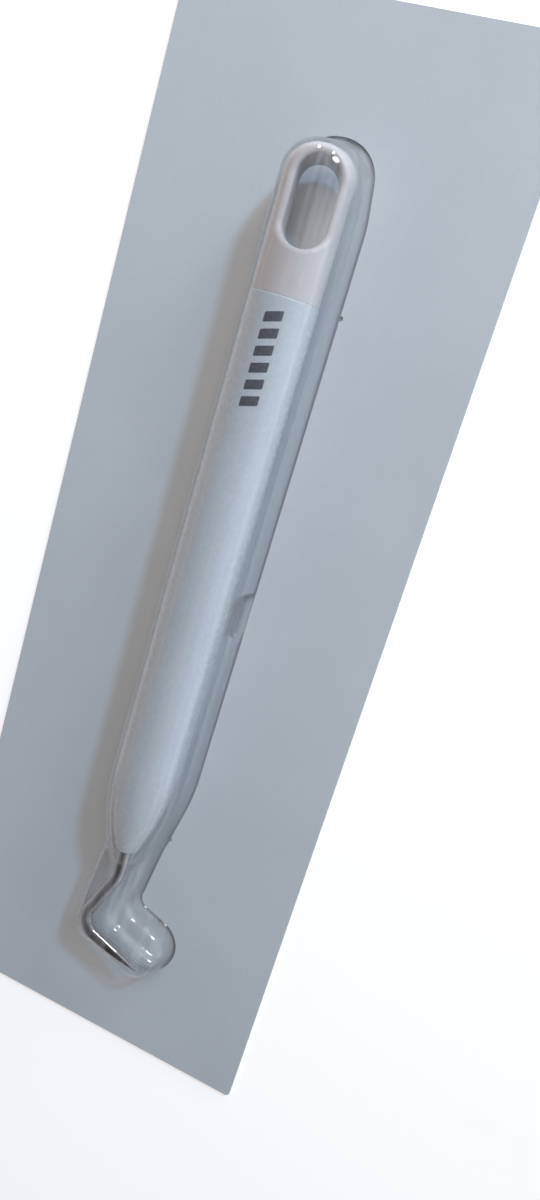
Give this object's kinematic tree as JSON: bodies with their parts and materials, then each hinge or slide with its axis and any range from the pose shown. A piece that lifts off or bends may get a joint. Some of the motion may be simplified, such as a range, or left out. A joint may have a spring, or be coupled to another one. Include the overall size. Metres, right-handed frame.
{
  "type": "carded blister pack",
  "caption": "Blister pack: a folded rectangular card with a clear formed dome that holds a hand weeding hook, which comes out once the card is peeled open.",
  "frame": {"origin": "centre of the rear board's back face, at the bottom of the closed pack", "axes": "+Z out of the card towards the clear dome, +Y along the card to its folded top edge, +X to the right as the card is read from the front"},
  "size_m": [0.08, 0.23, 0.0158],
  "materials": {
    "board": "fine uncoated",
    "seal": "glue film",
    "film": "clear",
    "barrel": "gloss",
    "cap": "satin",
    "bush": "matt",
    "steel": "polished"
  },
  "bodies": {
    "rear_panel": {"rear_board": "board", "seal_layer": "seal"},
    "front_panel": {"front_board": "board", "blister": "film"},
    "tool": {"barrel": "barrel", "shank_bush": "bush", "hook": "steel", "end_cap": "cap"}
  },
  "joints": [
    {"name": "pack_open", "type": "hinge", "parent": "rear_panel", "child": "front_panel", "pos_m": [0, 0.115, 0.00065], "axis": [-1, 0, 0], "range_deg": [0, 150]},
    {"name": "tool_out", "type": "slide", "parent": "front_panel", "child": "tool", "axis": [0, 0, -1], "range_m": [0, 0.0156]}
  ],
  "couplings": [
    {"joint": "tool_out", "follows": "pack_open", "m_per_rad": 0.0059}
  ]
}
